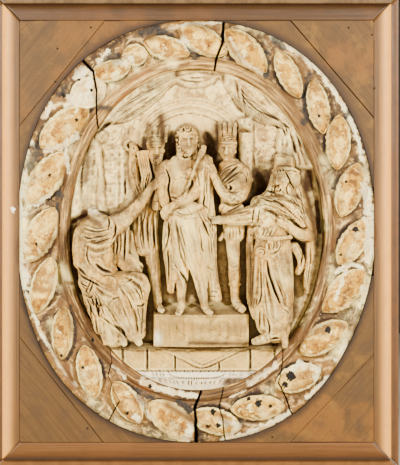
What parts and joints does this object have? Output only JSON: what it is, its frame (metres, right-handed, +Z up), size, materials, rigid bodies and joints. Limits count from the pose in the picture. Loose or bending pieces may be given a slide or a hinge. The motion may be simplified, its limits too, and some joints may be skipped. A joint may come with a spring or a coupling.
{
  "type": "framed plaster high relief",
  "caption": "Oval plaster high relief of robed figures on a plinth, ringed by a cracked leaf wreath and set in a rectangular moulded wooden panel frame.",
  "frame": {"origin": "centre of the flat back, on the wall", "axes": "+Z up, along the long side of the frame; +Y into the wall; the carved front faces -Y"},
  "size_m": [0.732, 0.1057, 0.854],
  "materials": {
    "rail_wood": "waxed softwood moulding, worn pale on its outer edge",
    "board_wood": "flat brown boards with diagonal grain and filled nail holes",
    "painted_plaster": "plaster with mauve-brown paint, ochre leaves, white chips and open cracks",
    "relief_plaster": "toned plaster, warm cream with brown in the hollows and chalky white wear"
  },
  "bodies": {
    "root": {"rail_left": "rail_wood", "rail_right": "rail_wood", "rail_top": "rail_wood", "rail_bottom": "rail_wood", "corner_board_top_left": "board_wood", "hollow_board_top_left": "board_wood", "corner_board_top_right": "board_wood", "hollow_board_top_right": "board_wood", "corner_board_bottom_left": "board_wood", "hollow_board_bottom_left": "board_wood", "corner_board_bottom_right": "board_wood", "hollow_board_bottom_right": "board_wood", "leaf_wreath": "painted_plaster", "relief": "relief_plaster"}
  },
  "joints": []
}
